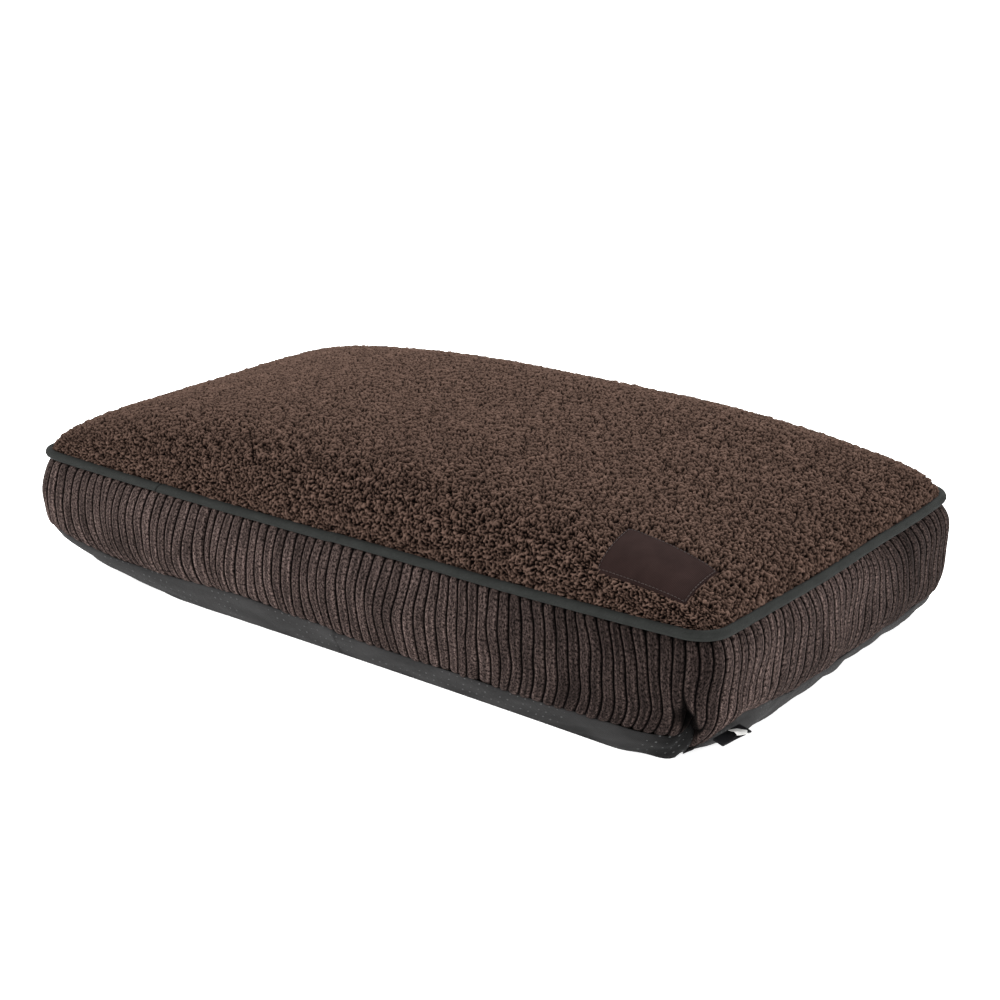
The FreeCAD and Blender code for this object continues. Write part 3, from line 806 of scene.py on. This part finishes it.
def fleece():
    """The curled pile, closed underneath by a coarser lining."""
    step = LINING_STEP
    xs, run_x = even_steps(HALF_X, lambda v: crown(v, 0 * v), PILE_PITCH, step)
    ys, run_y = even_steps(HALF_Y, lambda v: crown(0 * v, v), PILE_PITCH, step)
    x, y = grid(xs, ys)
    backing = skin(x, y)
    outward = normals_of(backing)
    pile, clumps = curls(x.shape)
    edge = np.minimum(run_x[-1] - np.abs(run_x)[:, None], run_y[-1] - np.abs(run_y)[None, :])
    standing = ease(edge / (3.5 * MM))
    beside = in_patch(x, y)
    pressed = 0.12 + 0.88 * ease((beside + 1.3 * MM) / (2.4 * MM))
    raised = PILE * (0.15 + 0.85 * pile + 0.09 * clumps) * standing * pressed
    points = backing + outward * raised[..., None]
    cloth = np.stack(np.broadcast_arrays(run_x[:, None], run_y[None, :], np.zeros((1, 1))), axis=-1)
    nu, nv = x.shape
    count = nu * nv
    coarse_x, coarse_y = np.arange(step, nu - 1, step), np.arange(step, nv - 1, step)
    under = (backing - outward * 3.2 * MM)[np.ix_(coarse_x, coarse_y)]
    cu, cv = len(coarse_x), len(coarse_y)

    def number(i, j):
        """The vertex at a coarse place: shared with the pile at the edge, its own inside."""
        if i % (nu - 1) == 0 or j % (nv - 1) == 0:
            return i * nv + j
        return count + (i // step - 1) * cv + (j // step - 1)

    def edge_of(i, j, di, dj):
        """Vertices from (i, j) up to the next coarse place, which is left out."""
        on_edge = (di == 0 and i % (nu - 1) == 0) or (dj == 0 and j % (nv - 1) == 0)
        return [number(i + di * k, j + dj * k) if k % step == 0 else (i + di * k) * nv + j + dj * k
                for k in (range(step) if on_edge else (0,))]

    lining = []
    for i in range(0, nu - 1, step):
        for j in range(0, nv - 1, step):
            lining.append(edge_of(i, j, 0, 1) + edge_of(i, j + step, 1, 0)
                          + edge_of(i + step, j + step, 0, -1) + edge_of(i + step, j, -1, 0))
    everything = np.concatenate((points.reshape(-1, 3), under.reshape(-1, 3)))
    flat = np.concatenate((cloth.reshape(-1, 3), np.zeros((cu * cv, 3))))
    # The pile attribute drives the painted shade in the gaps between the curls.
    tone = np.concatenate((pile.ravel(), np.full(cu * cv, 0.4)))
    # Painted light: the fleece is made lighter towards the front right.
    rightward = np.clip(everything[:, 0] / HALF_X + 1, 0, 2)
    forward = np.clip(1 - everything[:, 1] / HALF_Y, 0, 2)
    speckle_and_light = 1 + 0.17 * (rightward * forward / 4) ** 3
    made = piece("fleece_top", everything, [quads(nu, nv), lining], SHERPA,
                 {"cloth": flat, "pile": tone, "nap_and_shading": speckle_and_light})
    stands_for(made, "sherpa", "top_panel")
    return made


fleece_piece = fleece()


# ---- piping
def half_side(half):
    """Length of the piping line from the middle of a side to the middle of a corner."""
    return half - PIPE_CORNER + PIPE_CORNER * math.pi / 4


HALF_SIDE_LENGTHS = [half_side(HALF_LENGTH if ribs == RIBS_LONG else HALF_DEPTH) for ribs in HALF_SIDES]
PIPING_TURNS = np.cumsum([0] + HALF_SIDE_LENGTHS)
PIPING_LENGTH = float(PIPING_TURNS[-1])


def piping_path(places):
    """Points on the piping line; places are metres from the middle of the front."""
    turn = np.interp(places, PIPING_TURNS, np.arange(9.0))
    ring = (-HALF_LENGTH, HALF_LENGTH, -HALF_DEPTH, HALF_DEPTH, PIPE_CORNER)
    x, y, nx, ny = outline(ring, turn)
    sway = 0.5 * MM * lattice(places / (60 * MM), 0 * places, 61)
    rise = 0.6 * MM * lattice(places / (85 * MM), 0 * places, 62)
    return joined(x + nx * sway, y + ny * sway, PIPE_Z + lift(x, y) + rise)


def piping():
    """The bias-cut cover with its lapped joint, and the cord in it."""
    joint = PIPING_LENGTH - PIPING_JOINT
    beside = 14 * MM    # the path is finer this far each side of the joint
    coarse = np.arange(0, PIPING_LENGTH, 2.4 * MM)
    fine = np.arange(joint - beside, joint + beside, 0.4 * MM)
    places = np.unique(np.concatenate((coarse[np.abs(coarse - joint) > beside], fine)))
    path = piping_path(places)
    around = PIPING_AROUND
    angle = np.arange(around) * 2 * math.pi / around
    slant = places[:, None] - joint - 3 * MM * np.sin(angle)[None, :]
    lapped = np.where(slant > 0, np.exp(-slant / (9 * MM)), 0) * 0.45 * MM
    crease = -1.0 * MM * bell(slant, 0, 0.7 * MM)
    ripple = 0.12 * MM * lattice(places[:, None] / (7 * MM), angle[None, :] * 1.3, 63)
    outer, outer_faces = tube(path, PIPE_RADIUS + lapped + crease + ripple, around, closed=True)
    inner, inner_faces = tube(path, PIPE_RADIUS * 0.68, around, closed=True)
    girth = np.broadcast_to(angle[None, :] * PIPE_RADIUS, slant.shape)
    length = np.broadcast_to(places[:, None], slant.shape)
    bias = joined(length + girth, length - girth, 0 * girth)
    points = np.concatenate((outer.reshape(-1, 3), inner.reshape(-1, 3)))
    # The shading attribute paints shade into the crease of the lapped joint.
    made = piece("piping_tube", points, [outer_faces, inner_faces[:, ::-1] + outer.size // 3], PIPING_CLOTH,
                 {"cloth": np.concatenate((bias.reshape(-1, 3), bias.reshape(-1, 3))),
                  "nap_and_shading": np.tile(1 - 0.9 * bell(slant, 0, 0.8 * MM).ravel(), 2)})
    stands_for(made, "piping_cloth", "piping_cover")
    plies = 1 + 0.05 * np.cos(3 * angle[None, :] + places[:, None] * 900)
    filler, filler_faces = tube(path, PIPE_RADIUS * 0.62 * plies, around, closed=True)
    core = piece("piping_core", filler, [filler_faces], CORD, {"cloth": bias})
    stands_for(core, "cord", "piping_cord")
    return made


piping_piece = piping()


# ---- label patch
def patch_point(u, v, above):
    """A point of the patch, u and v from -1 to 1 across it."""
    c, s = math.cos(PATCH_TURN), math.sin(PATCH_TURN)
    a, b = u * PATCH_SIZE[0] / 2, v * PATCH_SIZE[1] / 2
    x, y = PATCH_MIDDLE[0] + a * c - b * s, PATCH_MIDDLE[1] + a * s + b * c
    z = TOP_LO.z - 1.4 * MM + crown(x, y) + lift(x, y) + swelling(x, y)
    bow = 0.5 * MM * lattice(u * 1.6 + 7, v * 1.2, 71) + 0.8 * MM * (1 - u * u) * (1 - v * v)
    curl = -0.9 * MM * (np.abs(u) ** 10 + np.abs(v) ** 8)
    return joined(x, y, z + bow + curl + above)


def label_patch():
    """The blank satin patch and the stitches just inside its edge."""
    u, v = grid(np.linspace(-1, 1, 97), np.linspace(-1, 1, 57))
    above = 1.8 * MM
    stitch_u, stitch_v = 1 - 2 * STITCH_INSET / PATCH_SIZE
    line = np.minimum(np.abs(np.maximum(np.abs(u) / stitch_u, np.abs(v) / stitch_v) - 1), 1)
    dent = -0.35 * MM * bell(line, 0, 0.035)
    points = patch_point(u, v, above + dent)
    cloth = joined(u * PATCH_SIZE[0] / 2, v * PATCH_SIZE[1] / 2, 0 * u)
    made = solid(piece("satin_patch", points, [quads(*u.shape)], PATCH_SATIN, {"cloth": cloth}), 0.7 * MM)
    stands_for(made, "patch_satin", "label_patch")
    corners = np.array(((-1, -1), (1, -1), (1, 1), (-1, 1), (-1, -1))) * np.array((stitch_u, stitch_v))
    stitches = []
    for start, end in zip(corners[:-1], corners[1:]):
        length = np.linalg.norm((end - start) * PATCH_SIZE / 2)
        count = int(round(length / (3.1 * MM)))
        for k in range(count):
            t = (k + np.linspace(0.1, 0.86, 7)) / count
            a, b = start[0] + (end[0] - start[0]) * t, start[1] + (end[1] - start[1]) * t
            arch = np.sin(np.linspace(0, math.pi, 7)) * 0.3 * MM
            stitches.append(patch_point(a, b, above - 0.25 * MM + arch))
    thread = piece("patch_stitches", *beads(stitches, 0.3 * MM), PATCH_THREAD)
    stands_for(thread, "patch_thread", "patch_stitching")
    return made


patch_piece = label_patch()


# ---- zip
def coil(name, low, high, first, upward):
    """Interlocking loops of a nylon coil, seen from outside."""
    pitch = 1.3 * MM
    count = int((high.x - low.x) / pitch)
    middle_y = (low.y + high.y) / 2
    near, reach = (low.z, high.z - low.z) if upward else (high.z, low.z - high.z)
    t = np.linspace(0, 1, 7)
    loops = []
    for k in range(count):
        x = low.x + (k + first) * pitch
        z = near + reach * t
        y = middle_y + (high.y - low.y) * 0.5 * (np.sin(t * math.pi) * 0.55 + 0.15)
        loops.append(joined(x + 0.35 * MM * np.cos(t * math.pi) * 0.5, y - 0.3 * MM, z))
    stands_for(piece(name + "_loops", *beads(loops, 0.46 * MM), ZIP_COIL), "zip_coil", name)


coil("zip_coil_upper", ZIP_UPPER_LO, ZIP_UPPER_HI, 0.25, True)
coil("zip_coil_lower", ZIP_LOWER_LO, ZIP_LOWER_HI, 0.75, False)


def topstitch(name, height):
    """Dashes of thread along a folded edge of the zip strips."""
    low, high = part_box(name)
    count = int((high.x - low.x) / (3.4 * MM))
    dashes = []
    for k in range(count):
        x = low.x + (k + np.linspace(0.1, 0.85, 6)) * (high.x - low.x) / count
        at = side(4 - x / half_side(HALF_LENGTH), height + 0 * x)
        arch = np.sin(np.linspace(0, math.pi, 6)) * 0.35 * MM
        at[:, 1] += arch - 0.35 * MM
        dashes.append(at)
    stands_for(piece(name + "_dashes", *beads(dashes, 0.38 * MM), THREAD), "thread", name)


topstitch("zip_topstitch_upper", ZIP_Z + STRIP_GAP + 4 * MM)
topstitch("zip_topstitch_lower", ZIP_Z - STRIP_GAP - 4 * MM)


def repaint(name, material):
    node = NODES[name]
    if not node.material_slots:
        node.data.materials.append(material)
    for material_slot in node.material_slots:
        material_slot.material = material


for node_name in ("zip_slider", "zip_pull", "zip_top_stops", "zip_bottom_stop"):
    repaint(node_name, ZIP_METAL)
for node_name in ("zip_tape_upper", "zip_tape_lower"):
    repaint(node_name, ZIP_TAPE)


# ---- tags in the base seam
def tag_frame():
    """Sewn edge's middle, and the directions outwards, along the seam and up from the tags."""
    origin = np.array(TAG_JOINT["pos_m"]) + np.array((4.9, -2.1, -0.4)) * MM
    along = np.array(TAG_JOINT["axis"]) / np.linalg.norm(TAG_JOINT["axis"])
    level = np.cross(along, (0, 0, 1))
    droop, climb = math.radians(3), math.radians(8)
    out = level * math.cos(droop) + np.array((0, 0, -math.sin(droop)))
    along = along * math.cos(climb) + np.array((0, 0, math.sin(climb)))
    return origin, out, along, np.cross(out, along)


def ribbon(name, width, shift, path, thickness, material, slot, skew, wave_seed, roll=0.0):
    """A ribbon whose centre line is path, in metres outwards and upwards from the seam; and its length."""
    origin, out, along, up = tag_frame()
    level = along * math.cos(roll) - up * math.sin(roll)
    path = np.asarray(path)
    across = np.linspace(-0.5, 0.5, 25)
    i, w = grid(np.arange(len(path)), across)
    bow = 0.5 * MM * lattice(i / 9, w * 2.5, wave_seed) * (path[i, 0] / path[:, 0].max())
    distance, height = path[i, 0] * (1 + skew * w), path[i, 1] + bow
    points = (origin + out * (distance + 0.3 * MM)[..., None] + along * shift + level * (w * width)[..., None]
              + up * height[..., None])
    run = np.concatenate(((0,), np.cumsum(np.linalg.norm(np.diff(path, axis=0), axis=1))))
    cloth = joined(w * width, run[i], 0 * w)
    made = piece(name + "_ribbon", points, [quads(*i.shape)], material, {"cloth": cloth}, body="tags")
    stands_for(solid(made, thickness, 0.0), slot, name)
    return made, float(run[-1])


def loop_path(length, gap, steps=18):
    """Out along the upper ply, round the fold and back along the lower one."""
    out = np.linspace(0, length - gap, steps)
    angle = np.linspace(math.pi / 2, -math.pi / 2, 9)[1:-1]
    upper = np.stack((out, gap / 2 + 0.35 * MM * np.sin(out / length * math.pi)), axis=1)
    fold = np.stack((length - gap + gap * np.cos(angle), gap / 2 * np.sin(angle)), axis=1)
    lower = np.stack((out[::-1], -gap / 2 + 0 * out), axis=1)
    return np.concatenate((upper, fold, lower))


TAG_WIDTH = 25.5 * MM
tag_piece, TAG_CUT = ribbon("side_tag", TAG_WIDTH, 0, loop_path(12 * MM, 0.9 * MM), 0.35 * MM, TAG_BLACK,
                            "tag_black", 0.12, 81)
CARE_WIDTH = 14 * MM
care_run = np.linspace(0, 10 * MM, 30)
care_bend = 0.2 - 0.7 * ease((care_run - 5 * MM) / (5 * MM))    # climbs, then curls over
care_step = np.diff(care_run, prepend=0)
care_path = np.stack((3.2 * MM + np.cumsum(care_step * np.cos(care_bend)),
                      1.3 * MM + np.cumsum(care_step * np.sin(care_bend))), axis=1)
care_piece, CARE_CUT = ribbon("care_label", CARE_WIDTH, 5.5 * MM, care_path, 0.3 * MM, CARE_WHITE,
                              "care_white", 0.1, 82, roll=math.radians(18))


# ---- inner cushion
def inner_cushion():
    """The liner with its filling, blown up as cloth inside the cover."""
    inset = 10 * MM
    x, y = grid(np.linspace(-1, 1, 81), np.linspace(-1, 1, 49))
    bulge = (1 - np.abs(x) ** 4) ** 0.5 * (1 - np.abs(y) ** 6) ** 0.5
    half_x, half_y = HALF_LENGTH - inset - 14 * MM, HALF_DEPTH - inset - 6 * MM
    top = joined(x * half_x, y * half_y, 90 * MM + 48 * MM * bulge)
    bottom = joined(x * half_x, y * half_y, 32 * MM - 24 * MM * bulge)
    nu, nv = x.shape
    count = nu * nv
    rim = [(i, 0) for i in range(nu - 1)] + [(nu - 1, j) for j in range(nv - 1)]
    rim += [(i, nv - 1) for i in range(nu - 1, 0, -1)] + [(0, j) for j in range(nv - 1, 0, -1)]
    rim = np.array([i * nv + j for i, j in rim])
    ahead = np.roll(rim, -1)
    wall = np.stack((rim, rim + count, ahead + count, ahead), axis=1)
    points = np.concatenate((top.reshape(-1, 3), bottom.reshape(-1, 3)))
    made = piece("inner_cushion", points, [quads(nu, nv), quads(nu, nv, flip=True, start=count), wall], LINER)
    bpy.context.view_layer.objects.active = made
    remesh = made.modifiers.new("remesh", "REMESH")
    remesh.mode = "VOXEL"
    remesh.voxel_size = 6 * MM
    bpy.ops.object.modifier_apply(modifier="remesh")
    start = np.empty(len(made.data.vertices) * 3, np.float32)
    made.data.vertices.foreach_get("co", start)
    cloth = made.modifiers.new("cloth", "CLOTH")
    cloth.settings.use_pressure = True
    cloth.settings.uniform_pressure_force = 4
    cloth.settings.effector_weights.gravity = 0
    scene = bpy.context.scene
    for number in range(1, 21):
        scene.frame_set(number)
    bpy.ops.object.modifier_apply(modifier="cloth")
    scene.frame_set(1)
    blown = np.empty_like(start)
    made.data.vertices.foreach_get("co", blown)
    start, blown = start.reshape(-1, 3), blown.reshape(-1, 3)
    move = blown - start
    reach = np.linalg.norm(move, axis=1, keepdims=True)
    cap = 6 * MM    # so that it stays inside the cover
    blown = start + move * np.minimum(1, cap / np.maximum(reach, 1e-9))
    blown[:, 2] = np.clip(blown[:, 2], 2.5 * MM, 160 * MM)
    made.data.vertices.foreach_set("co", blown.astype(np.float32).ravel())
    made.data.polygons.foreach_set("use_smooth", np.full(len(made.data.polygons), True))
    made.data.update()
    stands_for(made, "liner_cloth", "liner_upper", "liner_lower", "fibre_fill")
    return made


inner_piece = inner_cushion()


# ---- floor, light and camera
def floor():
    g = Graph("floor")
    where = g.place()
    colour = g.mixed(g.noise(where, 40, 2), (0.92, 0.92, 0.92), (0.94, 0.94, 0.94))
    material = g.finish(colour, None, 0.9, 0.1, Emission_Color=(1, 1, 1, 1),
                        Emission_Strength=0.75)
    mesh = bpy.data.meshes.new("floor")
    half = 30.0
    mesh.from_pydata([(-half, -half, 0), (half, -half, 0), (half, half, 0), (-half, half, 0)], [], [range(4)])
    mesh.materials.append(material)
    placed("floor", mesh)


def lamp(name, place, size, power):
    """A soft white light that faces the cushion."""
    data = bpy.data.lights.new(name, "AREA")
    data.shape = "RECTANGLE"
    data.size, data.size_y = size
    data.energy = power
    made = placed(name, data)
    made.location = place
    made.rotation_euler = (Vector(place) - Vector((0, 0, 0.05))).to_track_quat("Z", "Y").to_euler()


floor()
lamp("key", (-0.5, 1.5, 1.7), (1.6, 1.2), 64)
lamp("front_left", (-1.7, -1.7, 1.2), (1.2, 1.0), 36)
lamp("right", (2.2, 0.3, 1.0), (1.0, 0.8), 16)
world = bpy.data.worlds.new("studio")
world.use_nodes = True
sky = world.node_tree.nodes["Background"].inputs
sky["Color"].default_value = (1, 1, 1, 1)
sky["Strength"].default_value = 1.0
bpy.context.scene.world = world
bpy.context.scene.view_settings.view_transform = "Standard"

azimuth, elevation = math.radians(36.67), math.radians(19.56)    # from the front, towards the right and up
back = Vector((math.sin(azimuth) * math.cos(elevation), -math.cos(azimuth) * math.cos(elevation),
               math.sin(elevation)))
lens = bpy.data.cameras.new("camera")
lens.lens = 64.09
lens.sensor_width = 36
camera = placed("camera", lens)
camera.location = (0.8979, -1.1759, 0.6069)
camera.rotation_euler = (-back).to_track_quat("-Z", "Y").to_euler()
bpy.context.scene.camera = camera
